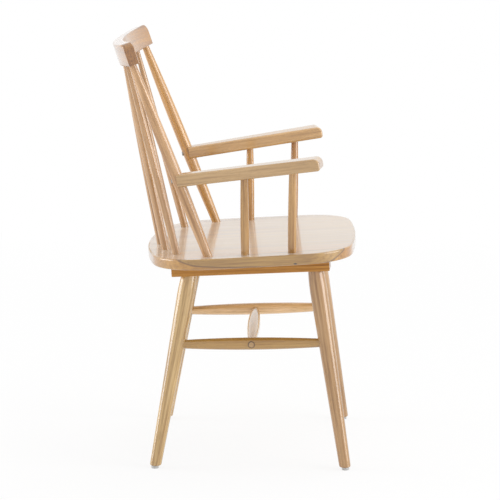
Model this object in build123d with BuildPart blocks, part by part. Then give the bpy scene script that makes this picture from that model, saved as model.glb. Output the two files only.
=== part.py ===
"""Spindle-back dining armchair in rubberwood, modelled as its separate pieces.

Frame: millimetres, +Z up, the chair faces -Y, the sitter's left is +X.
The origin is on the floor, under the middle of the chair's overall depth.
"""
import os
from dataclasses import dataclass, replace
from math import asin, cos, radians, sin, sqrt, tan

from build123d import *

# Seat panel, tilted back about X
seat_height = 442.6            # top surface above the floor at y = 0
seat_tilt = 3.2                # degrees, front edge higher
seat_thickness = 21.8
seat_front = -250.6            # middle of the front edge
seat_rear = 182.2              # middle of the rear edge
seat_front_corner = -230.0     # where the front edge and the sides would meet
seat_rear_corner = 138.0
seat_front_half_width = 232.0
seat_middle_half_width = 240.0
seat_middle = -45.0
seat_rear_half_width = 240.0
seat_front_radius = 100.0
seat_rear_radius = 111.0
seat_undercut = 1.0            # degrees by which the edge slopes in towards the underside
seat_top_round = 3.5
seat_bottom_round = 3.5
seat_glue_line = 208.0         # outermost glue line, from the middle plane
seat_inner_boards = 6          # boards between the two outermost glue lines

# Battens under the seat, one over each pair of legs
batten_width = 46.0
batten_thickness = 24.7
batten_rear = 122.8
batten_front = -197.3
batten_front_spacing = 326.0   # between the two centre lines at the front legs
batten_rear_spacing = 295.0    # and at the rear legs
batten_edge_round = 2.5

# Legs: where each axis meets the floor and the underside of its batten
front_foot_x = 209.0
front_foot_y = -230.3
rear_foot_x = 205.4
rear_foot_y = 158.2
front_leg_top_y = -167.5
rear_leg_top_y = 89.4
leg_foot_radius = 11.5
leg_belly_radius = 17.8
leg_top_radius = 15.4
leg_belly_drop = 48.0          # widest point below the batten, along the leg
leg_foot_round = 3.0
leg_tenon_radius = 11.0
leg_tenon_in_seat = 10.0

# Floor glides
glide_radius = 7.5
glide_height = 5.5
glide_round = 1.2
nail_radius = 1.2
nail_in_leg = 16.0
nail_in_glide = 4.0

# Stretchers
stretcher_rear_height = 250.0
stretcher_front_height = 257.6
stretcher_end_radius = 9.0
stretcher_belly_radius = 12.6
stretcher_past_axis = 4.0      # tenon beyond the leg's axis
cross_end_radius = 6.3
cross_belly_radius = 13.7
cross_tenon_proud = 0.6        # the through tenon shows outside the side stretcher

# Crest rail: a board bent about its own leaning axis
crest_lean = 18.7              # degrees
crest_y = 182.6                # front lower corner of its ends
crest_z = 828.0
crest_half_chord = 202.0       # across the front face
crest_sagitta = 35.2
crest_thickness = 22.2
crest_height = 45.5
crest_corner_round = 18.0
crest_edge_round = 2.5

# Back posts and spindles
post_foot_x = 205.5
post_foot_y = 48.3
post_top_x = 187.0
post_foot_radius = 9.0
post_belly_radius = 12.2
post_top_radius = 7.6
post_belly_at = 0.42           # share of the visible length, from the seat
spindle_feet = ((160.0, 114.5), (103.0, 140.0), (36.0, 154.0))
spindle_tops = (134.0, 80.0, 27.0)
spindle_foot_radius = 7.8
spindle_belly_radius = 8.3
spindle_top_radius = 5.2
spindle_belly_at = 0.3
seat_tenon = 17.0
crest_tenon = 15.0

# Arms
arm_height = 592.7             # middle of the arm on the post's axis
arm_splay = 8.9                # degrees, outwards to the front
arm_rise = 8.3                 # degrees, upwards to the front
arm_length = 292.4
arm_thickness = 25.0
arm_rear_width = 30.0
arm_front_width = 50.6
arm_nose_round = 12.5          # upper front end, seen from the side
arm_chin_round = 6.0           # lower front end
arm_edge_round = 4.0           # along both sides and round the front end

# Arm supports: seat positions, and distances along the arm from the post's axis
front_support_x = 211.5
front_support_y = -120.1
rear_support_x = 208.5
rear_support_y = -26.0
front_support_on_arm = 232.9
rear_support_on_arm = 134.0
support_foot_radius = 8.2
support_belly_radius = 8.6
support_top_radius = 7.4
support_belly_at = 0.35
support_tenon_in_arm = 14.0

# Screws
batten_screw_radius = 2.0
batten_screw_head_radius = 4.0
batten_screw_in_seat = 13.0
batten_screws_each = 3
batten_screw_leg_margin = 46.0  # from the axes of the leg tenons
screw_slot_width = 1.0
screw_slot_depth = 1.2
arm_screw_radius = 3.0
arm_screw_head_radius = 5.5
arm_screw_head_height = 3.0
arm_screw_head_proud = 1.4
arm_screw_in_arm = 38.0
arm_screw_socket_radius = 2.0
arm_screw_socket_depth = 1.6

# Fits
fit = 0.1                      # radial clearance of a tenon or a screw in its bore
bore_end_gap = 1.0             # room past the end of a tenon
collar = 6.0                   # straight length of a turned piece where it leaves its bore

SIDES = {"right": -1, "left": 1}
UP = Vector(0, 0, 1)

os.makedirs("parts", exist_ok=True)


def save(part, name):
    """Label a finished piece and write its STEP file."""
    part.label = name
    export_step(part, f"parts/{name}.step")


def profile_plane(start, end):
    """Plane whose Y axis runs from start to end, so that X is the radius of a turned piece."""
    along = (end - start).normalized()
    radial = along.cross(Vector(1, 0, 0) if abs(along.X) < 0.9 else UP).normalized()
    return Plane(origin=start, x_dir=radial, z_dir=radial.cross(along))


def rod(start, end, radius):
    """Plain cylinder between two points."""
    with BuildPart(Plane(origin=start, z_dir=end - start)) as cylinder:
        Cylinder(radius, (end - start).length, align=(Align.CENTER, Align.CENTER, Align.MIN))
    return cylinder.part


@dataclass
class TurnedStick:
    """A round stick that swells between its two visible ends and has a straight tenon past each."""

    foot: Vector
    head: Vector
    foot_radius: float
    belly_radius: float
    head_radius: float
    belly_at: float            # share of the visible length
    foot_tenon: float
    head_tenon: float

    @property
    def along(self):
        return (self.head - self.foot).normalized()

    def point(self, distance):
        """Point on the axis, at a distance from the foot."""
        return self.foot + self.along * distance

    def at_height(self, z):
        """Point on the axis at a height above the floor."""
        return self.foot + (self.head - self.foot) * ((z - self.foot.Z) / (self.head.Z - self.foot.Z))

    def solid(self):
        length = (self.head - self.foot).length
        with BuildPart() as stick:
            with BuildSketch(profile_plane(self.foot, self.head)):
                with BuildLine():
                    lower = Polyline(
                        (0, -self.foot_tenon),
                        (self.foot_radius, -self.foot_tenon),
                        (self.foot_radius, collar),
                    )
                    swell = ThreePointArc(
                        lower @ 1,
                        (self.belly_radius, self.belly_at * length),
                        (self.head_radius, length - collar),
                    )
                    Polyline(
                        swell @ 1,
                        (self.head_radius, length + self.head_tenon),
                        (0, length + self.head_tenon),
                        lower @ 0,
                    )
                make_face()
            revolve(axis=Axis(self.foot, self.along))
        return stick.part

    def foot_bore(self):
        start = -self.foot_tenon - bore_end_gap
        return rod(self.point(start), self.point(collar), self.foot_radius + fit)

    def head_bore(self):
        length = (self.head - self.foot).length
        end = length + self.head_tenon + bore_end_gap
        return rod(self.point(length - collar), self.point(end), self.head_radius + fit)

    def grown(self, clearance):
        """The same stick with every radius larger, for the hollow that fits round it."""
        return replace(
            self,
            foot_radius=self.foot_radius + clearance,
            belly_radius=self.belly_radius + clearance,
            head_radius=self.head_radius + clearance,
        )


# Reference planes of the seat and its battens
seat_normal = Vector(0, sin(radians(seat_tilt)), cos(radians(seat_tilt)))
seat_top = Plane(origin=(0, 0, seat_height), x_dir=(1, 0, 0), z_dir=seat_normal)
seat_underside = seat_top.offset(-seat_thickness)
batten_underside = seat_underside.offset(-batten_thickness)


def point_over(plane, x, y):
    """Point of a tilted plane above a place on the floor."""
    normal = plane.z_dir
    z = plane.origin.Z - (normal.X * (x - plane.origin.X) + normal.Y * (y - plane.origin.Y)) / normal.Z
    return Vector(x, y, z)


def batten_point(side, y):
    """Point on a batten's underside, on its centre line, which runs through the tops of its legs."""
    share = (y - rear_leg_top_y) / (front_leg_top_y - rear_leg_top_y)
    spacing = batten_rear_spacing + (batten_front_spacing - batten_rear_spacing) * share
    return point_over(batten_underside, SIDES[side] * spacing / 2, y)


# Crest rail geometry in its leaning plane, whose local Y points to the rear
crest_up = Vector(0, sin(radians(crest_lean)), cos(radians(crest_lean)))
crest_bottom = Plane(origin=(0, crest_y, crest_z), x_dir=(1, 0, 0), z_dir=crest_up)
crest_front_radius = (crest_half_chord**2 + crest_sagitta**2) / (2 * crest_sagitta)
crest_back_radius = crest_front_radius + crest_thickness
crest_centre = crest_sagitta - crest_front_radius
crest_half_angle = asin(crest_half_chord / crest_front_radius)


def crest_point(x):
    """Point on the middle of the crest's lower edge face."""
    middle_radius = crest_front_radius + crest_thickness / 2
    return crest_bottom.from_local_coords(Vector(x, crest_centre + sqrt(middle_radius**2 - x**2), 0))


# Posts and spindles
def back_stick(foot_x, foot_y, top_x, radii, belly_at):
    """A post or spindle from the seat to the crest rail."""
    return TurnedStick(
        foot=point_over(seat_top, foot_x, foot_y),
        head=crest_point(top_x),
        foot_radius=radii[0],
        belly_radius=radii[1],
        head_radius=radii[2],
        belly_at=belly_at,
        foot_tenon=seat_tenon,
        head_tenon=crest_tenon,
    )


post_radii = (post_foot_radius, post_belly_radius, post_top_radius)
posts = {
    name: back_stick(side * post_foot_x, post_foot_y, side * post_top_x, post_radii, post_belly_at)
    for name, side in SIDES.items()
}
spindle_radii = (spindle_foot_radius, spindle_belly_radius, spindle_top_radius)
half_row = list(zip(spindle_feet, spindle_tops))
spindles = [
    back_stick(side * foot[0], foot[1], side * top, spindle_radii, spindle_belly_at)
    for side, row in ((-1, half_row), (1, half_row[::-1]))
    for foot, top in row
]


# Arms
def arm_frame(side):
    """Plane through the middle of an arm: X runs forward along it from the post's axis, Z is up."""
    origin = posts[side].at_height(arm_height)
    outward = SIDES[side] * sin(radians(arm_splay))
    forward = Vector(outward, -cos(radians(arm_splay)), tan(radians(arm_rise))).normalized()
    across = UP.cross(forward).normalized()
    return Plane(origin=origin, x_dir=forward, z_dir=forward.cross(across))


arm_frames = {side: arm_frame(side) for side in SIDES}


def arm_support(side, x, y, on_arm):
    """A support from the seat up to the underside of its arm."""
    return TurnedStick(
        foot=point_over(seat_top, SIDES[side] * x, y),
        head=arm_frames[side].from_local_coords(Vector(on_arm, 0, -arm_thickness / 2)),
        foot_radius=support_foot_radius,
        belly_radius=support_belly_radius,
        head_radius=support_top_radius,
        belly_at=support_belly_at,
        foot_tenon=seat_tenon,
        head_tenon=support_tenon_in_arm,
    )


supports = {
    (end, side): arm_support(side, x, y, on_arm)
    for side in SIDES
    for end, x, y, on_arm in (
        ("front", front_support_x, front_support_y, front_support_on_arm),
        ("rear", rear_support_x, rear_support_y, rear_support_on_arm),
    )
}


# Legs
@dataclass
class Leg:
    """A raked and splayed leg: its axis from the floor to the underside of the batten."""

    foot: Vector
    top: Vector

    @property
    def along(self):
        return (self.top - self.foot).normalized()

    @property
    def tenon_length(self):
        return (batten_thickness + leg_tenon_in_seat) / self.along.dot(seat_normal)

    def at_height(self, z):
        return self.foot + (self.top - self.foot) * (z / self.top.Z)

    def tenon_bore(self):
        start = self.top - self.along * leg_tenon_radius
        end = self.top + self.along * (self.tenon_length + bore_end_gap)
        return rod(start, end, leg_tenon_radius + fit)

    def nail_bore(self):
        foot = self.foot + UP * glide_height
        return rod(foot - UP * nail_in_glide, foot + UP * (nail_in_leg + bore_end_gap), nail_radius + fit)

    def solid(self):
        length = (self.top - self.foot).length
        overrun = leg_belly_radius
        with BuildPart() as leg:
            with BuildSketch(profile_plane(self.foot, self.top)):
                with BuildLine():
                    taper = Polyline(
                        (0, -overrun), (leg_foot_radius, -overrun), (leg_foot_radius, 0),
                        (leg_belly_radius, length - leg_belly_drop),
                    )
                    shoulder = TangentArc(taper @ 1, (leg_top_radius, length), tangent=taper % 1)
                    end = length + overrun
                    Polyline(shoulder @ 1, (leg_top_radius, end), (0, end), taper @ 0)
                make_face()
            revolve(axis=Axis(self.foot, self.along))
            split(bisect_by=batten_underside, keep=Keep.BOTTOM)
            split(bisect_by=Plane.XY.offset(glide_height), keep=Keep.TOP)
            fillet(leg.edges().group_by(Axis.Z)[0], leg_foot_round)
            with BuildSketch(Plane(origin=self.top - self.along * leg_tenon_radius, z_dir=self.along)):
                Circle(leg_tenon_radius)
            extrude(amount=leg_tenon_radius + self.tenon_length)
        return leg.part


legs = {}
for side, sign in SIDES.items():
    for end, foot_x, foot_y, top_y in (
        ("front", front_foot_x, front_foot_y, front_leg_top_y),
        ("rear", rear_foot_x, rear_foot_y, rear_leg_top_y),
    ):
        legs[end, side] = Leg(Vector(sign * foot_x, foot_y, 0), batten_point(side, top_y))


# Stretchers
def side_stretcher(side):
    """The stick between a rear and a front leg, with its tenons past the legs' axes."""
    rear = legs["rear", side].at_height(stretcher_rear_height)
    front = legs["front", side].at_height(stretcher_front_height)
    along = (front - rear).normalized()
    inset = leg_foot_radius
    return TurnedStick(
        foot=rear + along * inset,
        head=front - along * inset,
        foot_radius=stretcher_end_radius,
        belly_radius=stretcher_belly_radius,
        head_radius=stretcher_end_radius,
        belly_at=0.5,
        foot_tenon=inset + stretcher_past_axis,
        head_tenon=inset + stretcher_past_axis,
    )


side_stretchers = {side: side_stretcher(side) for side in SIDES}
cross_ends = {side: (stick.foot + stick.head) * 0.5 for side, stick in side_stretchers.items()}
cross_along = (cross_ends["left"] - cross_ends["right"]).normalized()
cross_inset = stretcher_belly_radius - collar
cross_stretcher = TurnedStick(
    foot=cross_ends["right"] + cross_along * cross_inset,
    head=cross_ends["left"] - cross_along * cross_inset,
    foot_radius=cross_end_radius,
    belly_radius=cross_belly_radius,
    head_radius=cross_end_radius,
    belly_at=0.5,
    foot_tenon=cross_inset + stretcher_belly_radius + cross_tenon_proud,
    head_tenon=cross_inset + stretcher_belly_radius + cross_tenon_proud,
)


# Screws
def batten_screw_planes(side):
    """Planes on a batten's underside, Z up along each of its screws."""
    first = front_leg_top_y + batten_screw_leg_margin
    step = (rear_leg_top_y - batten_screw_leg_margin - first) / (batten_screws_each - 1)
    return [
        Plane(origin=batten_point(side, first + step * k), x_dir=(1, 0, 0), z_dir=seat_normal)
        for k in range(batten_screws_each)
    ]


def countersunk_screw(plane, radius, head_radius, length, clearance=0.0):
    """A flat-headed screw from a surface inwards, or with a clearance the hole that it needs."""
    with BuildPart() as screw:
        with BuildSketch(Plane(origin=plane.origin, x_dir=plane.x_dir, z_dir=-plane.y_dir)):
            with BuildLine():
                Polyline(
                    (0, 0), (head_radius + clearance, 0), (radius + clearance, head_radius - radius),
                    (radius + clearance, length), (0, length + radius), close=True,
                )
            make_face()
        revolve(axis=Axis(plane.origin, plane.z_dir))
    return screw.part


batten_screw_length = batten_thickness + batten_screw_in_seat
batten_screw_seats = [plane for side in SIDES for plane in batten_screw_planes(side)]
batten_screw_bores = [
    countersunk_screw(plane, batten_screw_radius, batten_screw_head_radius, batten_screw_length, fit)
    for plane in batten_screw_seats
]


def arm_screw_points(side):
    """Underside of the screw's head behind the post, and the screw's tip in the arm."""
    frame = arm_frames[side]
    behind = post_belly_radius - (arm_screw_head_height - arm_screw_head_proud)
    ahead = post_belly_radius + arm_screw_in_arm
    return frame.origin - frame.x_dir * behind, frame.origin + frame.x_dir * ahead


# Seat panel before it is parted at its glue lines
seat_bores = [stick.foot_bore() for stick in (*posts.values(), *spindles, *supports.values())]
seat_bores += [leg.tenon_bore() for leg in legs.values()]
seat_bores += batten_screw_bores
with BuildPart() as seat_panel:
    with BuildSketch(seat_top) as seat_outline:
        with BuildLine():
            front_left = (seat_front_half_width, seat_front_corner)
            front_right = (-seat_front_half_width, seat_front_corner)
            rear_left = (seat_rear_half_width, seat_rear_corner)
            rear_right = (-seat_rear_half_width, seat_rear_corner)
            ThreePointArc(front_right, (0, seat_front), front_left)
            ThreePointArc(front_left, (seat_middle_half_width, seat_middle), rear_left)
            ThreePointArc(rear_left, (0, seat_rear), rear_right)
            ThreePointArc(rear_right, (-seat_middle_half_width, seat_middle), front_right)
        make_face()
        fillet(seat_outline.vertices().group_by(Axis.Y)[0], seat_front_radius)
        fillet(seat_outline.vertices().group_by(Axis.Y)[-1], seat_rear_radius)
    extrude(amount=-seat_thickness, taper=seat_undercut)
    for level, radius in ((-1, seat_top_round), (0, seat_bottom_round)):
        fillet(seat_panel.faces().sort_by(Axis((0, 0, 0), seat_normal))[level].edges(), radius)
    add(seat_bores, mode=Mode.SUBTRACT)

board_width = 2 * seat_glue_line / seat_inner_boards
glue_lines = [-seat_glue_line + board_width * k for k in range(seat_inner_boards + 1)]
for number in range(len(glue_lines) + 1):
    with BuildPart() as seat_board:
        add(seat_panel.part)
        if number > 0:
            split(bisect_by=Plane.YZ.offset(glue_lines[number - 1]), keep=Keep.TOP)
        if number < len(glue_lines):
            split(bisect_by=Plane.YZ.offset(glue_lines[number]), keep=Keep.BOTTOM)
    save(seat_board.part, f"seat_board_{number + 1}")

# Battens
for side in SIDES:
    bores = [legs[end, side].tenon_bore() for end in ("front", "rear")]
    front_end = batten_point(side, batten_front)
    rear_end = batten_point(side, batten_rear)
    length = rear_end - front_end
    with BuildPart() as batten:
        with BuildSketch(Plane(origin=front_end + length / 2, x_dir=length, z_dir=seat_normal)):
            Rectangle(length.length, batten_width)
        extrude(amount=batten_thickness)
        lower_edges = batten.faces().sort_by(Axis((0, 0, 0), seat_normal))[0].edges()
        fillet(lower_edges, batten_edge_round)
        add(bores + batten_screw_bores, mode=Mode.SUBTRACT)
    save(batten.part, f"{side}_batten")

with BuildPart() as batten_screws:
    for plane in batten_screw_seats:
        add(countersunk_screw(plane, batten_screw_radius, batten_screw_head_radius, batten_screw_length))
    for plane in batten_screw_seats:
        with BuildSketch(plane):
            Rectangle(2 * batten_screw_radius, screw_slot_width)
            Rectangle(screw_slot_width, 2 * batten_screw_radius)
        extrude(amount=screw_slot_depth, mode=Mode.SUBTRACT)
save(batten_screws.part, "batten_screws")

# Legs with the bores for their stretcher and their glide's nail
for (end, side), leg in legs.items():
    stick = side_stretchers[side]
    reach = leg_belly_radius + collar
    middle = leg.at_height(stretcher_front_height if end == "front" else stretcher_rear_height)
    towards = stick.along * (-1 if end == "front" else 1)
    bore_end = middle - towards * (stretcher_past_axis + bore_end_gap)
    stretcher_bore = rod(bore_end, middle + towards * reach, stretcher_end_radius + fit)
    with BuildPart() as leg_piece:
        add(leg.solid())
        add([stretcher_bore, leg.nail_bore()], mode=Mode.SUBTRACT)
    save(leg_piece.part, f"{end}_{side}_leg")

# Glides, each with the pin that holds it in its leg
for (end, side), leg in legs.items():
    with BuildPart() as glide:
        with BuildSketch(Plane(origin=leg.foot)):
            Circle(glide_radius)
        extrude(amount=glide_height)
        fillet(glide.edges().group_by(Axis.Z)[0], glide_round)
        add(leg.nail_bore(), mode=Mode.SUBTRACT)
    save(glide.part, f"{end}_{side}_glide")

with BuildPart() as glide_nails:
    for leg in legs.values():
        foot = leg.foot + UP * glide_height
        add(rod(foot - UP * nail_in_glide, foot + UP * nail_in_leg, nail_radius))
save(glide_nails.part, "glide_nails")

# Stretchers
for side, stick in side_stretchers.items():
    with BuildPart() as stretcher:
        add(stick.solid())
        add(rod(
            cross_ends[side] - cross_along * 2 * stretcher_belly_radius,
            cross_ends[side] + cross_along * 2 * stretcher_belly_radius,
            cross_end_radius + fit,
        ), mode=Mode.SUBTRACT)
    save(stretcher.part, f"{side}_side_stretcher")
save(cross_stretcher.solid(), "cross_stretcher")

# Back posts with the hole for the arm screw and a flat seat for its head
for side, stick in posts.items():
    head_seat, tip = arm_screw_points(side)
    along = arm_frames[side].x_dir
    shank_bore = rod(head_seat - along * post_belly_radius, tip, arm_screw_radius + fit)
    head_bore = rod(head_seat - along * post_belly_radius, head_seat, arm_screw_head_radius + fit)
    with BuildPart() as post:
        add(stick.solid())
        add([shank_bore, head_bore], mode=Mode.SUBTRACT)
    save(post.part, f"{side}_back_post")

for number, stick in enumerate(spindles, 1):
    save(stick.solid(), f"back_spindle_{number}")

# Crest rail
crest_bores = [stick.head_bore() for stick in (*posts.values(), *spindles)]
with BuildPart() as crest:
    with BuildSketch(crest_bottom):
        with BuildLine():
            back_x = crest_back_radius * sin(crest_half_angle)
            back_y = crest_centre + crest_back_radius * cos(crest_half_angle)
            front_arc = ThreePointArc((-crest_half_chord, 0), (0, crest_sagitta), (crest_half_chord, 0))
            Line(front_arc @ 1, (back_x, back_y))
            back_middle = (0, crest_sagitta + crest_thickness)
            back_arc = ThreePointArc((back_x, back_y), back_middle, (-back_x, back_y))
            Line(back_arc @ 1, front_arc @ 0)
        make_face()
    extrude(amount=crest_height)
    upper_face = crest.faces().sort_by(Axis((0, 0, 0), crest_up))[-1]
    end_edges = upper_face.edges().filter_by(GeomType.LINE)
    fillet(end_edges, crest_corner_round)
    fillet(crest.faces().filter_by(GeomType.CYLINDER).sort_by(SortBy.AREA)[-2:].edges(), crest_edge_round)
    add(crest_bores, mode=Mode.SUBTRACT)
save(crest.part, "crest_rail")

# Arms, hollowed at the rear to sit against the front of the posts
for side in SIDES:
    frame = arm_frames[side]
    head_seat, tip = arm_screw_points(side)
    hollow = posts[side].grown(fit).solid()
    screw_bore = rod(head_seat, tip + frame.x_dir * bore_end_gap, arm_screw_radius + fit)
    tenon_bores = [supports[end, side].head_bore() for end in ("front", "rear")]
    with BuildPart() as arm:
        with BuildSketch(frame.offset(-arm_thickness / 2)):
            with BuildLine():
                Polyline(
                    (0, -arm_rear_width / 2), (arm_length, -arm_front_width / 2),
                    (arm_length, arm_front_width / 2), (0, arm_rear_width / 2), close=True,
                )
            make_face()
        extrude(amount=arm_thickness)
        along, across, upwards = (Axis((0, 0, 0), way) for way in (frame.x_dir, frame.y_dir, frame.z_dir))
        for level, radius in ((-1, arm_nose_round), (0, arm_chin_round)):
            front_edges = arm.edges().filter_by(across).group_by(along)[-1]
            fillet(front_edges.sort_by(upwards)[level], radius)
        rear_edges = arm.faces().sort_by(along)[0].edges()
        side_edges = arm.faces().sort_by(across)[0].edges() + arm.faces().sort_by(across)[-1].edges()
        fillet([edge for edge in side_edges if edge not in rear_edges], arm_edge_round)
        add([hollow, screw_bore, *tenon_bores], mode=Mode.SUBTRACT)
    save(arm.part, f"{side}_arm")

with BuildPart() as arm_screws:
    for side in SIDES:
        head_seat, tip = arm_screw_points(side)
        along = arm_frames[side].x_dir
        back = head_seat - along * arm_screw_head_height
        head = rod(back, head_seat, arm_screw_head_radius)
        add([head, rod(head_seat, tip, arm_screw_radius)])
        add(rod(back, back + along * arm_screw_socket_depth, arm_screw_socket_radius), mode=Mode.SUBTRACT)
save(arm_screws.part, "arm_screws")

# Arm supports
for (end, side), stick in supports.items():
    save(stick.solid(), f"{end}_{side}_arm_support")
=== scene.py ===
"""Looks of a spindle-back dining armchair in clear-lacquered rubberwood.

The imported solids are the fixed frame. This script gives each of them its finish, models the floor
glides, and sets up the studio and the camera. Units are metres, +Z is up and the chair faces -Y.
"""
from __future__ import annotations

import logging
import math
import random
from dataclasses import dataclass, field
from enum import Enum

import bpy
import numpy as np
from mathutils import Euler, Matrix, Vector

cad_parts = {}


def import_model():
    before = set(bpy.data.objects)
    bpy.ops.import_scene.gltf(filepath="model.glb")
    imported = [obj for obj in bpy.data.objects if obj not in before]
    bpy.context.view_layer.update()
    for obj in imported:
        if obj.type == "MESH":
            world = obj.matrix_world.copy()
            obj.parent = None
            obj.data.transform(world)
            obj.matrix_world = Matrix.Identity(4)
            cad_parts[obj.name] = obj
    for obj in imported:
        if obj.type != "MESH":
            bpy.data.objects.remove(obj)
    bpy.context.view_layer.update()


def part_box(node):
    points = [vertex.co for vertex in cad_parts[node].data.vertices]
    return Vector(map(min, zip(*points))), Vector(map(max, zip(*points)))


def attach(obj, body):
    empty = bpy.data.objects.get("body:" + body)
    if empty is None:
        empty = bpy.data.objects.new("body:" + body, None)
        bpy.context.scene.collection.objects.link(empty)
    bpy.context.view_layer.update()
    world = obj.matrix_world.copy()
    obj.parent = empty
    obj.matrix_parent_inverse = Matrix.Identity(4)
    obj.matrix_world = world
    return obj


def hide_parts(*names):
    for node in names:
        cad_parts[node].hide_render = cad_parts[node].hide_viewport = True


LOG = logging.getLogger("armchair")
Triple = tuple[float, float, float]
Span = tuple[float, float]
Colour = Triple
Socket = bpy.types.NodeSocket
Value = Socket | float

ROOT_BODY = "root"
# Cosines above which two directions count as nearly the same, and as the same.
NEARLY_ALONG = 0.9
SAME_WAY = 0.99
# Sockets of Blender's mix node that carry colours.
MIX_COLOURS = (6, 7)
MIX_RESULT = 2
NOISE_MIDDLE = (0.5, 0.5, 0.5)


class Cut(Enum):
    """How a piece lies in the log, as the distance of the log's heart from the piece in metres."""

    BOARD = 0.090
    RAIL = 0.055
    TURNED = 0.030


@dataclass(frozen=True)
class Layer:
    """Noise that makes one layer of a figure, with its lumps per metre along three axes.

    The span is the part of its values that is stretched, and the share is what it adds to the tone.
    """

    lumps: Triple
    detail: float
    span: Span = (0.30, 0.70)
    share: float = 0.0


@dataclass(frozen=True)
class Timber:
    """Colours of one wood in linear light, and its figure in metres."""

    light: Colour
    middle: Colour
    dark: Colour
    pore: Colour
    pore_share: float
    ring_width: float
    ring_share: float
    ring_drift: float
    middle_tone: float = 0.48
    streak: Layer = Layer((220, 220, 5.0), 4, share=0.42)
    fibre: Layer = Layer((800, 800, 24), 2, share=0.16)
    cloud: Layer = Layer((16, 16, 2.5), 2, share=0.28)
    drift: Layer = Layer((9, 9, 1.8), 2)
    pores: Layer = Layer((1150, 1150, 48), 1, span=(0.61, 0.72))

    def shades(self, tint: Colour) -> list[tuple[float, Colour]]:
        """Give the colour stops from dark to light, multiplied by a piece's own tint."""
        stops = ((0.0, self.dark), (self.middle_tone, self.middle), (1.0, self.light))
        return [(place, tuple(c * t for c, t in zip(shade, tint))) for place, shade in stops]


@dataclass(frozen=True)
class Lacquer:
    """Clear coat over the wood, which may have a pale bloom where it is seen at a low angle."""

    ior: float
    roughness: float
    wood_specular: float
    wood_roughness: Span = (0.30, 0.46)
    bloom: float = 0.0
    bloom_roughness: float = 0.30


RUBBERWOOD = Timber(
    light=(0.68, 0.43, 0.185),
    middle=(0.53, 0.31, 0.110),
    dark=(0.31, 0.15, 0.040),
    pore=(0.20, 0.090, 0.025),
    pore_share=0.38,
    ring_width=0.0065,
    ring_share=0.14,
    ring_drift=0.024,
)
POLISHED = Lacquer(ior=1.72, roughness=0.08, wood_specular=0.50, bloom=0.42)
BUFFED = Lacquer(ior=1.65, roughness=0.10, wood_specular=0.75, bloom=0.50)
GLOSSY = Lacquer(ior=1.65, roughness=0.10, wood_specular=0.75)
SATIN = Lacquer(ior=1.75, roughness=0.12, wood_specular=0.15)
DULL = Lacquer(ior=1.30, roughness=0.25, wood_specular=0.10)


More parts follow.
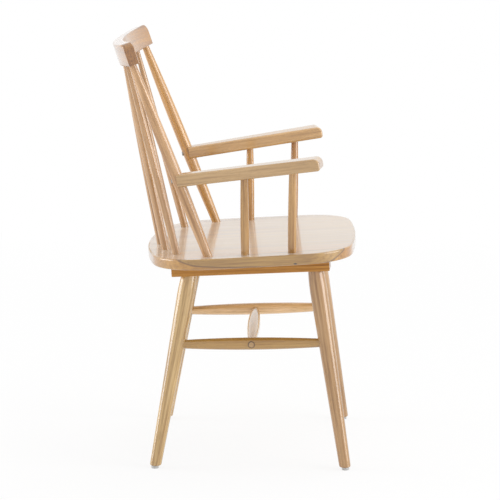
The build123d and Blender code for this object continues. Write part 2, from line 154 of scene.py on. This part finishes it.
class Graph:
    """Wires the nodes of one material or world."""

    def __init__(self, owner: bpy.types.Material | bpy.types.World) -> None:
        """Start from an empty node tree.

        Args:
            owner: The material or world whose nodes are made.
        """
        owner.use_nodes = True
        self.tree = owner.node_tree
        self.tree.nodes.clear()

    def node(self, kind: str, **settings: object) -> bpy.types.Node:
        """Add a node.

        Args:
            kind: Blender's name of the node type.
            settings: Attributes to set on it.

        Returns:
            The new node.
        """
        made = self.tree.nodes.new(kind)
        for name, value in settings.items():
            setattr(made, name, value)
        return made

    def feed(self, socket: Socket, value: object) -> None:
        """Link a socket to another one, or set its own value.

        Args:
            socket: The input to feed.
            value: An output socket, or a plain value.
        """
        if isinstance(value, bpy.types.NodeSocket):
            self.tree.links.new(value, socket)
        else:
            socket.default_value = value

    def math(self, operation: str, first: Value, second: Value = 0.0) -> Socket:
        """Add a scalar operation and return its result."""
        made = self.node("ShaderNodeMath", operation=operation)
        self.feed(made.inputs[0], first)
        self.feed(made.inputs[1], second)
        return made.outputs[0]

    def vector(self, operation: str, first: object, second: object = (0, 0, 0)) -> bpy.types.Node:
        """Add a vector operation and return its node."""
        made = self.node("ShaderNodeVectorMath", operation=operation)
        self.feed(made.inputs[0], first)
        self.feed(made.inputs[1], second)
        return made

    def spread(self, value: Value, low: float, high: float, to: Span = (0, 1)) -> Socket:
        """Stretch the range from low to high over another range, and clamp it there.

        Args:
            value: What to stretch.
            low: The value that becomes the first end.
            high: The value that becomes the second end.
            to: The two ends.

        Returns:
            The stretched value.
        """
        made = self.node("ShaderNodeMapRange")
        for socket, number in zip(made.inputs, (value, low, high, *to)):
            self.feed(socket, number)
        return made.outputs[0]

    def noise(self, place: Socket, layer: Layer, output: str = "Fac") -> Socket:
        """Sample the noise of a layer.

        Args:
            place: Coordinates, in the piece's own grain frame where the noise follows the grain.
            layer: How large and how fine the noise is.
            output: Which output of the noise is wanted.

        Returns:
            The noise as it comes.
        """
        made = self.node("ShaderNodeTexNoise")
        self.feed(made.inputs["Vector"], self.vector("MULTIPLY", place, layer.lumps).outputs[0])
        made.inputs["Scale"].default_value = 1.0
        made.inputs["Detail"].default_value = layer.detail
        return made.outputs[output]

    def layer(self, place: Socket, layer: Layer, to: Span = (0, 1)) -> Socket:
        """Sample the noise of a layer and stretch its span over a range.

        Args:
            place: Coordinates, as for the noise.
            layer: The layer.
            to: The two ends of the range.

        Returns:
            The stretched noise.
        """
        return self.spread(self.noise(place, layer), *layer.span, to)

    def ramp(self, value: Socket, stops: list[tuple[float, Colour]]) -> Socket:
        """Turn a value into a colour between stops."""
        made = self.node("ShaderNodeValToRGB")
        elements = made.color_ramp.elements
        while len(elements) < len(stops):
            elements.new(0.5)
        for element, (place, colour) in zip(elements, stops):
            element.position = place
            element.color = (*colour, 1.0)
        self.feed(made.inputs[0], value)
        return made.outputs[0]

    def mix(self, share: Value, first: object, second: object, blend: str = "MIX") -> Socket:
        """Mix two colours.

        Args:
            share: How much of the second colour shows.
            first: A colour or a socket.
            second: A colour or a socket.
            blend: Blender's name of the way to mix them.

        Returns:
            The mixed colour.
        """
        made = self.node("ShaderNodeMix", data_type="RGBA", blend_type=blend)
        self.feed(made.inputs[0], share)
        for number, colour in zip(MIX_COLOURS, (first, second)):
            whole = colour if isinstance(colour, bpy.types.NodeSocket) else (*colour, 1.0)
            self.feed(made.inputs[number], whole)
        return made.outputs[MIX_RESULT]

    def bump(self, height: Socket, strength: float, depth: float) -> Socket:
        """Raise the surface by a height.

        Args:
            height: The height, as a share of the depth.
            strength: How much of the bump shows.
            depth: What a height of 1 is in metres.

        Returns:
            The bent normal.
        """
        made = self.node("ShaderNodeBump")
        made.inputs["Strength"].default_value = strength
        made.inputs["Distance"].default_value = depth
        self.feed(made.inputs["Height"], height)
        return made.outputs[0]

    def surface(self, shader: bpy.types.Node) -> None:
        """End the tree at a surface shader."""
        output = self.node("ShaderNodeOutputMaterial")
        self.tree.links.new(shader.outputs[0], output.inputs["Surface"])


@dataclass(frozen=True)
class GrainFrame:
    """Where a piece's own axes lie: X and Y across the grain, Z along it."""

    origin: Vector
    axis: Vector
    bend_radius: float = 0.0

    @classmethod
    def of_node(cls, node: str, axis: Vector | None = None) -> GrainFrame:
        """Work out the frame from a solid of the chair.

        Args:
            node: The solid's name.
            axis: The way of the grain, where it isn't the way in which the solid is longest.

        Returns:
            The frame at the middle of the solid's box.
        """
        low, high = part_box(node)
        return cls((low + high) / 2, axis or long_axis(node))

    def across(self) -> Vector:
        """Give the first axis across the grain, level wherever it can be."""
        level = Vector((1, 0, 0)) if abs(self.axis.x) < NEARLY_ALONG else Vector((0, 1, 0))
        return (level - self.axis * level.dot(self.axis)).normalized()

    def rotation(self) -> Triple:
        """Give the frame's turn as Euler angles."""
        first = self.across()
        turn = Matrix((first, self.axis.cross(first), self.axis)).transposed()
        return tuple(turn.to_euler())


def long_axis(node: str) -> Vector:
    """Find the way in which a solid is longest.

    Args:
        node: The solid's name.

    Returns:
        A unit vector along it, pointing up or to the front.
    """
    mesh = bpy.data.objects[node].data
    points = np.empty(len(mesh.vertices) * 3, np.float32)
    mesh.vertices.foreach_get("co", points)
    spots = points.reshape(-1, 3).astype(float)
    spots -= spots.mean(axis=0)
    directions = np.linalg.eigh(spots.T @ spots)[1]
    axis = Vector(directions[:, -1]).normalized()
    return axis if axis.z - axis.y > 0 else -axis


@dataclass(frozen=True)
class Knot:
    """A small dark knot on a piece."""

    place: Vector
    length: float
    width: float
    depth: float
    colour: Colour = (0.035, 0.018, 0.008)
    core: float = 0.45

    def paint(self, graph: Graph, position: Socket, colour: Socket) -> Socket:
        """Darken the knot, which is longer from front to rear.

        Args:
            graph: The material's graph.
            position: Coordinates in the chair's frame.
            colour: The wood's colour so far.

        Returns:
            The colour with the knot on it.
        """
        away = graph.vector("SUBTRACT", position, self.place).outputs[0]
        sizes = (1 / self.depth, 1 / self.length, 1 / self.width)
        reach = graph.vector("LENGTH", graph.vector("MULTIPLY", away, sizes).outputs[0]).outputs["Value"]
        return graph.mix(graph.spread(reach, self.core, 1.0, (1.0, 0.0)), colour, self.colour)


@dataclass(frozen=True)
class GlueLine:
    """A thin dark joint between two boards, in a plane across the chair."""

    x: float
    half_width: float = 0.0006
    share: float = 0.35
    glue: Colour = RUBBERWOOD.pore

    def paint(self, graph: Graph, position: Socket, colour: Socket) -> Socket:
        """Darken the wood beside the joint.

        Args:
            graph: The material's graph.
            position: Coordinates in the chair's frame.
            colour: The wood's colour so far.

        Returns:
            The colour with the joint on it.
        """
        apart = graph.node("ShaderNodeSeparateXYZ")
        graph.feed(apart.inputs[0], position)
        distance = graph.math("ABSOLUTE", graph.math("SUBTRACT", apart.outputs["X"], self.x))
        share = graph.spread(distance, 0.0, self.half_width, (self.share, 0.0))
        return graph.mix(share, colour, self.glue)


@dataclass(frozen=True)
class GrowthLine:
    """A dark growth layer that slopes through a board, with redder wood fading away below it."""

    place: Vector
    normal: Vector
    half_width: float = 0.0024
    share: float = 0.90
    layer: Colour = (0.13, 0.056, 0.015)
    below: Colour = (1.18, 1.03, 0.72)
    fade: float = 0.060
    waver: float = 0.0010
    waves: Layer = Layer((30, 12, 30), 1)

    def paint(self, graph: Graph, position: Socket, colour: Socket) -> Socket:
        """Darken the layer and redden the wood below it.

        Args:
            graph: The material's graph.
            position: Coordinates in the chair's frame.
            colour: The wood's colour so far.

        Returns:
            The colour with the layer in it.
        """
        away = graph.vector("SUBTRACT", position, self.place).outputs[0]
        height = graph.vector("DOT_PRODUCT", away, self.normal.normalized()).outputs["Value"]
        wave = graph.layer(position, self.waves, (-self.waver, self.waver))
        height = graph.math("ADD", height, wave)
        near = graph.spread(height, -self.fade, 0.0)
        near = graph.math("MULTIPLY", near, graph.math("LESS_THAN", height, 0.0))
        colour = graph.mix(near, colour, self.below, "MULTIPLY")
        share = graph.spread(graph.math("ABSOLUTE", height), 0.0, self.half_width, (self.share, 0.0))
        return graph.mix(share, colour, self.layer)


@dataclass(frozen=True)
class GlueAndShadeRing:
    """A dark ring where a round tenon comes out of a piece: partly glue, partly painted shade of the gap
    round the tenon.

    It shows only where a piece lies farther out to the side of the centre than a given distance.
    """

    centre: Vector
    radius: float
    beyond: float
    half_width: float = 0.0017
    share: float = 1.0
    # Colour of the ring, which is glue and painted shade of the gap round the tenon.
    glue: Colour = (0.085, 0.042, 0.012)

    def paint(self, graph: Graph, position: Socket, colour: Socket) -> Socket:
        """Darken the ring of glue and painted shade round an axis across the chair.

        Args:
            graph: The material's graph.
            position: Coordinates in the chair's frame.
            colour: The wood's colour so far.

        Returns:
            The colour with the ring on it.
        """
        away = graph.vector("SUBTRACT", position, self.centre).outputs[0]
        level = graph.vector("MULTIPLY", away, (0, 1, 1)).outputs[0]
        reach = graph.vector("LENGTH", level).outputs["Value"]
        off = graph.math("ABSOLUTE", graph.math("SUBTRACT", reach, self.radius))
        share = graph.spread(off, 0.0, self.half_width, (self.share, 0.0))
        out = graph.vector("LENGTH", graph.vector("MULTIPLY", away, (1, 0, 0)).outputs[0]).outputs["Value"]
        # The ring paints glue together with the shade of the gap round the tenon.
        share = graph.math("MULTIPLY", share, graph.math("GREATER_THAN", out, self.beyond))
        return graph.mix(share, colour, self.glue)


Mark = Knot | GlueLine | GrowthLine | GlueAndShadeRing


@dataclass(frozen=True)
class WoodFinish:
    """Makes the material of each wooden piece, with the grain along the piece."""

    lacquer: Lacquer
    timber: Timber = RUBBERWOOD
    end_shade: Colour = (0.70, 0.62, 0.54)
    tone_range: Span = (0.20, 0.80)
    end_span: Span = (0.72, 0.95)
    shift: float = 3.0
    fibre_height: float = 0.4
    bump_depth: float = 0.0003
    bump_strength: float = 0.06

    def dress(
        self,
        node: str,
        tint: Colour,
        cut: Cut,
        grain: GrainFrame | None = None,
        marks: tuple[Mark, ...] = (),
    ) -> None:
        """Give a solid its own piece of wood.

        Args:
            node: The solid's name.
            tint: Multiplies the timber's colours.
            cut: How the piece lies in the log.
            grain: Its grain frame, where that isn't simply the solid's long axis.
            marks: Knots, joints and growth lines on it.
        """
        material = bpy.data.materials.new(f"wood_{node}")
        graph = Graph(material)
        grain = grain or GrainFrame.of_node(node)
        chance = random.Random(node)
        coordinates = graph.node("ShaderNodeTexCoord")
        place = self._place(graph, coordinates.outputs["Object"], grain)
        shift = [chance.uniform(-self.shift, self.shift) for _ in range(3)]
        shifted = graph.vector("ADD", place, shift).outputs[0]
        streak = graph.layer(shifted, self.timber.streak)
        fibre = graph.noise(shifted, self.timber.fibre)
        tone = self._tone(graph, place, shifted, streak, fibre, cut, chance)
        pores = graph.layer(shifted, self.timber.pores)
        colour = graph.ramp(tone, self.timber.shades(tint))
        colour = graph.mix(graph.math("MULTIPLY", pores, self.timber.pore_share), colour, self.timber.pore)
        ends = self._end_grain(graph, coordinates.outputs["Normal"], grain)
        colour = graph.mix(ends, colour, self.end_shade, "MULTIPLY")
        for mark in marks:
            colour = mark.paint(graph, coordinates.outputs["Object"], colour)
        self._coat(graph, colour, streak, fibre, pores)
        wear(node, material)

    def _place(self, graph: Graph, position: Socket, grain: GrainFrame) -> Socket:
        """Turn the chair's coordinates into the piece's own.

        Args:
            graph: The material's graph.
            position: Coordinates in the chair's frame.
            grain: The piece's grain frame.

        Returns:
            Coordinates with Z along the grain, straightened where the piece is bent.
        """
        mapping = graph.node("ShaderNodeMapping", vector_type="TEXTURE")
        graph.feed(mapping.inputs["Vector"], position)
        mapping.inputs["Location"].default_value = grain.origin
        mapping.inputs["Rotation"].default_value = grain.rotation()
        if not grain.bend_radius:
            return mapping.outputs[0]
        apart = graph.node("ShaderNodeSeparateXYZ")
        graph.feed(apart.inputs[0], mapping.outputs[0])
        out = graph.math("ADD", apart.outputs["X"], grain.bend_radius)
        turn = graph.math("ARCTAN2", apart.outputs["Z"], out)
        out_square = graph.math("MULTIPLY", out, out)
        along_square = graph.math("MULTIPLY", apart.outputs["Z"], apart.outputs["Z"])
        together = graph.node("ShaderNodeCombineXYZ")
        graph.feed(together.inputs["X"], graph.math("SQRT", graph.math("ADD", out_square, along_square)))
        graph.feed(together.inputs["Y"], apart.outputs["Y"])
        graph.feed(together.inputs["Z"], graph.math("MULTIPLY", turn, grain.bend_radius))
        return together.outputs[0]

    def _tone(
        self,
        graph: Graph,
        place: Socket,
        shifted: Socket,
        streak: Socket,
        fibre: Socket,
        cut: Cut,
        chance: random.Random,
    ) -> Socket:
        """Add up the growth rings, streaks, fibres and clouds of the wood.

        Args:
            graph: The material's graph.
            place: Coordinates in the grain frame.
            shifted: The same, moved to the piece's own part of the noise.
            streak: Long streaks, from 0 to 1.
            fibre: Fine fibres, from 0 to 1.
            cut: How the piece lies in the log.
            chance: The piece's own random draws.

        Returns:
            How light the wood is, from 0 to 1.
        """
        timber = self.timber
        angle = chance.uniform(0, 2 * math.pi)
        heart = (cut.value * math.cos(angle), cut.value * math.sin(angle), 0.0)
        drift = graph.vector("SUBTRACT", graph.noise(shifted, timber.drift, "Color"), NOISE_MIDDLE)
        drift = graph.vector("MULTIPLY", drift.outputs[0], (timber.ring_drift, timber.ring_drift, 0.0))
        level = graph.vector("MULTIPLY", place, (1, 1, 0)).outputs[0]
        off_heart = graph.vector("ADD", graph.vector("SUBTRACT", level, heart).outputs[0], drift.outputs[0])
        distance = graph.vector("LENGTH", off_heart.outputs[0]).outputs["Value"]
        rings = graph.math("SINE", graph.math("MULTIPLY", distance, 2 * math.pi / timber.ring_width))
        layers = (
            (graph.spread(rings, -1, 1), timber.ring_share),
            (streak, timber.streak.share),
            (graph.spread(fibre, *timber.fibre.span), timber.fibre.share),
            (graph.layer(shifted, timber.cloud), timber.cloud.share),
        )
        tone: Value = 0.0
        for layer, share in layers:
            tone = graph.math("ADD", graph.math("MULTIPLY", layer, share), tone)
        return graph.spread(tone, *self.tone_range)

    def _end_grain(self, graph: Graph, normal: Socket, grain: GrainFrame) -> Socket:
        """Find where the surface cuts across the fibres, from 0 to 1."""
        along = graph.vector("DOT_PRODUCT", normal, grain.axis).outputs["Value"]
        return graph.spread(graph.math("ABSOLUTE", along), *self.end_span)

    def _coat(self, graph: Graph, colour: Socket, streak: Socket, fibre: Socket, pores: Socket) -> None:
        """Finish the wood with its lacquer.

        Args:
            graph: The material's graph.
            colour: The wood's colour.
            streak: Long streaks, which vary the roughness.
            fibre: Fine fibres, which raise the surface a little.
            pores: Open pores, which sink it.
        """
        height = graph.math("SUBTRACT", graph.math("MULTIPLY", fibre, self.fibre_height), pores)
        normal = graph.bump(height, self.bump_strength, self.bump_depth)
        shader = graph.node("ShaderNodeBsdfPrincipled")
        graph.feed(shader.inputs["Base Color"], colour)
        rough = graph.spread(streak, 0.0, 1.0, self.lacquer.wood_roughness)
        graph.feed(shader.inputs["Roughness"], rough)
        graph.feed(shader.inputs["Normal"], normal)
        shader.inputs["Specular IOR Level"].default_value = self.lacquer.wood_specular
        shader.inputs["Coat Weight"].default_value = 1.0
        shader.inputs["Coat Roughness"].default_value = self.lacquer.roughness
        shader.inputs["Coat IOR"].default_value = self.lacquer.ior
        shader.inputs["Sheen Weight"].default_value = self.lacquer.bloom
        shader.inputs["Sheen Roughness"].default_value = self.lacquer.bloom_roughness
        graph.surface(shader)


def wear(name: str, material: bpy.types.Material) -> None:
    """Put a material on a piece in place of what it has."""
    mesh = bpy.data.objects[name].data
    mesh.materials.clear()
    mesh.materials.append(material)
    LOG.info("dressed %s in %s", name, material.name)


@dataclass(frozen=True)
class SpeckledFinish:
    """A plain hard finish with a fine speckle, for plastic and plated steel."""

    name: str
    colour: Colour
    speckle: Colour
    metallic: float
    roughness: float
    grains_per_metre: float
    grain_detail: float = 3
    grain_span: Span = (0.35, 0.65)
    roughness_spread: float = 0.1
    bump_depth: float = 0.0002
    bump_strength: float = 0.1

    def material(self) -> bpy.types.Material:
        """Make the material."""
        material = bpy.data.materials.new(self.name)
        graph = Graph(material)
        place = graph.node("ShaderNodeTexCoord").outputs["Object"]
        lumps = (self.grains_per_metre,) * 3
        grains = graph.layer(place, Layer(lumps, self.grain_detail, self.grain_span))
        shader = graph.node("ShaderNodeBsdfPrincipled")
        graph.feed(shader.inputs["Base Color"], graph.mix(grains, self.colour, self.speckle))
        rough = graph.spread(grains, 0.0, 1.0, (self.roughness, self.roughness + self.roughness_spread))
        graph.feed(shader.inputs["Roughness"], rough)
        graph.feed(shader.inputs["Normal"], graph.bump(grains, self.bump_strength, self.bump_depth))
        shader.inputs["Metallic"].default_value = self.metallic
        graph.surface(shader)
        return material


@dataclass
class SeatPanel:
    """The seat's glued-up boards and the two battens under them."""

    boards: int = 8
    tilt: float = math.radians(3.2)
    board_finish: WoodFinish = WoodFinish(BUFFED, end_shade=(0.86, 0.72, 0.50), tone_range=(0.08, 0.92))
    batten_finish: WoodFinish = WoodFinish(DULL)
    board_tint: Colour = (0.76, 0.72, 0.46)
    tint_spread: float = 0.06
    batten_tint: Colour = (0.92, 0.72, 0.40)
    knot: Knot = Knot(
        place=Vector((-0.2387, -0.1270, 0.4312)),
        length=0.0046,
        width=0.0024,
        depth=0.010,
    )
    growth: GrowthLine = GrowthLine(
        place=Vector((-0.2145, 0.0, 0.4426)),
        normal=Vector((-1.0, -0.0272, 1.355)),
    )
    growth_boards: int = 2

    def dress(self) -> None:
        """Give every board its own wood, with the grain from front to rear, and darker battens."""
        slope = Vector((0, -math.cos(self.tilt), math.sin(self.tilt)))
        for number in range(1, self.boards + 1):
            node = f"seat_board_{number}"
            shade = 1 + random.Random(node).uniform(-self.tint_spread, self.tint_spread)
            tint = tuple(channel * shade for channel in self.board_tint)
            grain = GrainFrame.of_node(node, slope)
            self.board_finish.dress(node, tint, Cut.BOARD, grain, self._marks(number))
        for side in ("right", "left"):
            self.batten_finish.dress(f"{side}_batten", self.batten_tint, Cut.RAIL)

    def _marks(self, number: int) -> tuple[Mark, ...]:
        """List the joints and marks on a board.

        Args:
            number: The board's number, from the sitter's right.

        Returns:
            Its glue lines, the growth line where it runs through the board, and the first board's knot.
        """
        low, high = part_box(f"seat_board_{number}")
        marks: list[Mark] = []
        if number > 1:
            marks.append(GlueLine(low.x))
        if number < self.boards:
            marks.append(GlueLine(high.x))
        if number <= self.growth_boards:
            marks.append(self.growth)
        if number == 1:
            marks.append(self.knot)
        return tuple(marks)


@dataclass
class LegFrame:
    """The four legs and the stretchers between them."""

    finish: WoodFinish = WoodFinish(SATIN)
    leg_tints: dict[str, Colour] = field(default_factory=lambda: {
        "front_right": (0.82, 0.78, 0.84),
        "rear_right": (1.06, 1.18, 1.32),
        "front_left": (0.92, 0.94, 1.20),
        "rear_left": (1.00, 1.08, 1.20),
    })
    stretcher_tints: dict[str, Colour] = field(default_factory=lambda: {
        "right_side": (0.75, 0.69, 0.46),
        "left_side": (1.34, 1.46, 1.90),
        "cross": (1.04, 1.14, 1.32),
    })
    tenon_radius: float = 0.0063
    tenon_length: float = 0.004

    def dress(self) -> None:
        """Give every turned piece its own wood, with a ring of glue and painted shade round the cross
        stretcher's tenons.
        """
        glue_shade_ring = self._glue_shade_ring()
        for name, tint in self.leg_tints.items():
            self.finish.dress(f"{name}_leg", tint, Cut.TURNED)
        for name, tint in self.stretcher_tints.items():
            self.finish.dress(f"{name}_stretcher", tint, Cut.TURNED, marks=(glue_shade_ring,))

    def _glue_shade_ring(self) -> GlueAndShadeRing:
        """Give the ring of glue and painted shade at both ends of the cross stretcher, whose axis runs
        straight across.
        """
        low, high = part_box("cross_stretcher")
        return GlueAndShadeRing((low + high) / 2, self.tenon_radius, high.x - self.tenon_length)


@dataclass
class Backrest:
    """The posts, the spindles and the bent crest rail."""

    spindles: int = 6
    stick_finish: WoodFinish = WoodFinish(SATIN)
    crest_finish: WoodFinish = WoodFinish(POLISHED)
    post_tints: dict[str, Colour] = field(default_factory=lambda: {
        "right": (1.04, 1.00, 1.20),
        "left": (1.06, 0.97, 0.84),
    })
    spindle_tint: Colour = (0.96, 0.95, 1.18)
    crest_tint: Colour = (0.72, 0.53, 0.22)
    crest_bend_radius: float = 0.597
    crest_bend_inset: float = 0.03

    def dress(self) -> None:
        """Give every stick its own wood, and run the crest rail's grain round its bend."""
        for side, tint in self.post_tints.items():
            self.stick_finish.dress(f"{side}_back_post", tint, Cut.TURNED)
        for number in range(1, self.spindles + 1):
            self.stick_finish.dress(f"back_spindle_{number}", self.spindle_tint, Cut.TURNED)
        self.crest_finish.dress("crest_rail", self.crest_tint, Cut.RAIL, self._crest_grain())

    def _crest_grain(self) -> GrainFrame:
        """Give the crest rail's grain frame, at the middle of its bend."""
        low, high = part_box("crest_rail")
        middle = Vector((0, high.y - self.crest_bend_inset, (low.z + high.z) / 2))
        return GrainFrame(middle, Vector((1, 0, 0)), self.crest_bend_radius)


@dataclass
class ArmPair:
    """The two arms and their supports."""

    arm_finish: WoodFinish = WoodFinish(GLOSSY, tone_range=(0.0, 1.0))
    support_finish: WoodFinish = WoodFinish(SATIN)
    arm_tints: dict[str, Colour] = field(default_factory=lambda: {
        "right": (0.95, 0.98, 1.07),
        "left": (1.03, 1.01, 0.98),
    })
    support_tints: dict[str, Colour] = field(default_factory=lambda: {
        "front_right": (0.98, 0.94, 0.90),
        "rear_right": (0.97, 0.92, 0.82),
        "front_left": (0.84, 0.64, 0.32),
        "rear_left": (1.10, 0.96, 0.58),
    })

    def dress(self) -> None:
        """Give the arms and their supports their own wood."""
        for side, tint in self.arm_tints.items():
            self.arm_finish.dress(f"{side}_arm", tint, Cut.BOARD)
        for corner, tint in self.support_tints.items():
            self.support_finish.dress(f"{corner}_arm_support", tint, Cut.TURNED)


@dataclass
class Fasteners:
    """The screws and pins that hold the chair together."""

    steel: SpeckledFinish = SpeckledFinish(
        name="zinc_steel",
        colour=(0.34, 0.33, 0.32),
        speckle=(0.46, 0.45, 0.43),
        metallic=1.0,
        roughness=0.32,
        grains_per_metre=1800.0,
    )

    def dress(self) -> None:
        """Give all the screws and pins one steel."""
        material = self.steel.material()
        for node in ("batten_screws", "arm_screws", "glide_nails"):
            wear(node, material)


@dataclass
class Glides:
    """The nylon glides under the feet: a rounded pad with a dished underside."""

    nylon: SpeckledFinish = SpeckledFinish(
        name="grey_nylon",
        colour=(0.50, 0.50, 0.49),
        speckle=(0.58, 0.58, 0.57),
        metallic=0.0,
        roughness=0.42,
        grains_per_metre=2600.0,
    )
    sides: int = 64
    rim_round: float = 0.0012
    rim_segments: int = 4
    dish_inset: float = 0.0026
    dish_depth: float = 0.0006
    collar_inset: float = 0.0009
    collar_height: float = 0.0012
    step_run: float = 0.0004
    crease: float = math.radians(40)

    def build(self) -> None:
        """Model one glide and put a copy of it under every leg."""
        nodes = [f"{end}_{side}_glide" for end in ("front", "rear") for side in ("right", "left")]
        low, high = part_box(nodes[0])
        pattern = self._pattern((high.x - low.x) / 2, high.z - low.z)
        material = self.nylon.material()
        for node in nodes:
            low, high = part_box(node)
            piece = pattern.copy()
            piece.data = pattern.data.copy()
            piece.name = f"{node}_pad"
            bpy.context.collection.objects.link(piece)
            piece.data.transform(Matrix.Translation(((low.x + high.x) / 2, (low.y + high.y) / 2, low.z)))
            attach(piece, ROOT_BODY)
            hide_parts(node)
            wear(piece.name, material)
        bpy.data.objects.remove(pattern)

    def _pattern(self, radius: float, height: float) -> bpy.types.Object:
        """Model a glide that stands on the origin.

        Args:
            radius: Its radius.
            height: Its height.

        Returns:
            The finished object.
        """
        bpy.ops.object.select_all(action="DESELECT")
        bpy.ops.mesh.primitive_cylinder_add(vertices=self.sides, radius=radius, depth=height)
        pad = bpy.context.object
        pad.data.transform(Matrix.Translation((0, 0, height / 2)))
        self._step(pad, Vector((0, 0, -1)), self.dish_inset, -self.dish_depth)
        self._step(pad, Vector((0, 0, 1)), self.collar_inset, -self.collar_height)
        bevel = pad.modifiers.new("rounded_rim", "BEVEL")
        bevel.width = self.rim_round / self.rim_segments
        bevel.segments = self.rim_segments
        bevel.angle_limit = self.crease
        bpy.ops.object.modifier_apply(modifier=bevel.name)
        bpy.ops.object.shade_smooth_by_angle(angle=self.crease)
        return pad

    def _step(self, pad: bpy.types.Object, way: Vector, inset: float, rise: float) -> None:
        """Leave a flat ring on the end face of a pad and move the face inside it.

        Args:
            pad: The pad.
            way: Outward normal of the face.
            inset: Width of the ring.
            rise: How far the inner face moves out.
        """
        bpy.ops.object.mode_set(mode="EDIT")
        bpy.ops.mesh.select_all(action="DESELECT")
        bpy.ops.object.mode_set(mode="OBJECT")
        for face in pad.data.polygons:
            face.select = face.normal.dot(way) > SAME_WAY
        bpy.ops.object.mode_set(mode="EDIT")
        bpy.ops.mesh.select_mode(type="FACE")
        for thickness in (inset, self.step_run):
            bpy.ops.mesh.inset(thickness=thickness, depth=0.0)
        bpy.ops.transform.translate(value=way * rise)
        bpy.ops.object.mode_set(mode="OBJECT")


def aim(place: Vector, target: Vector) -> Euler:
    """Give the turn of a lamp or camera that looks from a place at a target."""
    return (target - place).to_track_quat("-Z", "Y").to_euler()


@dataclass(frozen=True)
class SoftLamp:
    """A large soft lamp that looks at the middle of the chair."""

    name: str
    place: Vector
    size: float
    power: float

    def hang(self, target: Vector) -> None:
        """Add the lamp to the studio.

        Args:
            target: Where it looks.
        """
        bpy.ops.object.light_add(type="AREA", location=self.place, rotation=aim(self.place, target))
        lamp = bpy.context.object
        lamp.name = self.name
        lamp.data.shape = "DISK"
        lamp.data.size = self.size
        lamp.data.energy = self.power


@dataclass
class Studio:
    """White studio: a pale floor, an even white surround and soft lamps."""

    floor_size: float = 40.0
    floor_white: float = 0.93
    near_glow: float = 0.84
    far_glow: float = 1.0
    glow_from: float = 0.5
    glow_to: float = 2.6
    surround_strength: float = 0.68
    middle: Vector = Vector((0, 0, 0.45))
    lamps: tuple[SoftLamp, ...] = (
        SoftLamp("top_lamp", Vector((0.5, -1.0, 3.2)), size=3.0, power=20.0),
        SoftLamp("front_lamp", Vector((-1.3, -3.6, 1.4)), size=3.0, power=74.0),
        SoftLamp("rear_lamp", Vector((0.1, 3.6, 1.2)), size=2.4, power=64.0),
    )

    def build(self) -> None:
        """Lay the floor, set the surround and hang the lamps."""
        self._lay_floor()
        self._surround()
        for lamp in self.lamps:
            lamp.hang(self.middle)
        bpy.context.scene.view_settings.view_transform = "Standard"

    def _seen(self, graph: Graph) -> Socket:
        """Give 1 for rays from the camera and for mirrored ones, and 0 for rays that light the chair."""
        path = graph.node("ShaderNodeLightPath")
        seen = graph.math("MAXIMUM", path.outputs["Is Camera Ray"], path.outputs["Is Glossy Ray"])
        return graph.math("MAXIMUM", seen, path.outputs["Is Transmission Ray"])

    def _lay_floor(self) -> None:
        """Make the floor, which looks white and still takes the chair's shadow."""
        bpy.ops.object.select_all(action="DESELECT")
        bpy.ops.mesh.primitive_plane_add(size=self.floor_size)
        floor = bpy.context.object
        floor.name = "studio_floor"
        material = bpy.data.materials.new("white_floor")
        graph = Graph(material)
        matt = graph.node("ShaderNodeBsdfDiffuse")
        matt.inputs["Color"].default_value = (self.floor_white,) * 3 + (1.0,)
        glow = graph.node("ShaderNodeEmission")
        place = graph.node("ShaderNodeTexCoord").outputs["Object"]
        away = graph.vector("LENGTH", place).outputs["Value"]
        ends = (self.near_glow, self.far_glow)
        share = graph.spread(away, self.glow_from, self.glow_to, ends)
        share = graph.math("MULTIPLY", self._seen(graph), share)
        both = graph.node("ShaderNodeMixShader")
        graph.feed(both.inputs[0], share)
        graph.feed(both.inputs[1], matt.outputs[0])
        graph.feed(both.inputs[2], glow.outputs[0])
        graph.surface(both)
        wear(floor.name, material)

    def _surround(self) -> None:
        """Make the world white to look at, and weaker as a light."""
        world = bpy.data.worlds.new("white_surround")
        bpy.context.scene.world = world
        graph = Graph(world)
        background = graph.node("ShaderNodeBackground")
        strength = graph.spread(self._seen(graph), 0, 1, (self.surround_strength, 1.0))
        graph.feed(background.inputs["Strength"], strength)
        background.inputs["Color"].default_value = (1, 1, 1, 1)
        output = graph.node("ShaderNodeOutputWorld")
        graph.feed(output.inputs["Surface"], background.outputs[0])


@dataclass(frozen=True)
class PhotoCamera:
    """A camera where the photograph was taken from."""

    place: Vector = Vector((-5.0162, -0.1632, 1.3358))
    target: Vector = Vector((0.0, -0.0303, 0.4153))
    focal_length: float = 175.56
    sensor_width: float = 36.0

    def set_up(self) -> None:
        """Add the camera and make it the scene's own."""
        turn = aim(self.place, self.target)
        bpy.ops.object.camera_add(location=self.place, rotation=turn)
        camera = bpy.context.object
        camera.data.lens = self.focal_length
        camera.data.sensor_width = self.sensor_width
        bpy.context.scene.camera = camera


def main() -> None:
    """Dress the chair and set up the studio round it."""
    logging.basicConfig(level=logging.INFO, format="%(message)s")
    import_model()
    SeatPanel().dress()
    LegFrame().dress()
    Backrest().dress()
    ArmPair().dress()
    Fasteners().dress()
    Glides().build()
    Studio().build()
    PhotoCamera().set_up()


if __name__ == "__main__":
    main()
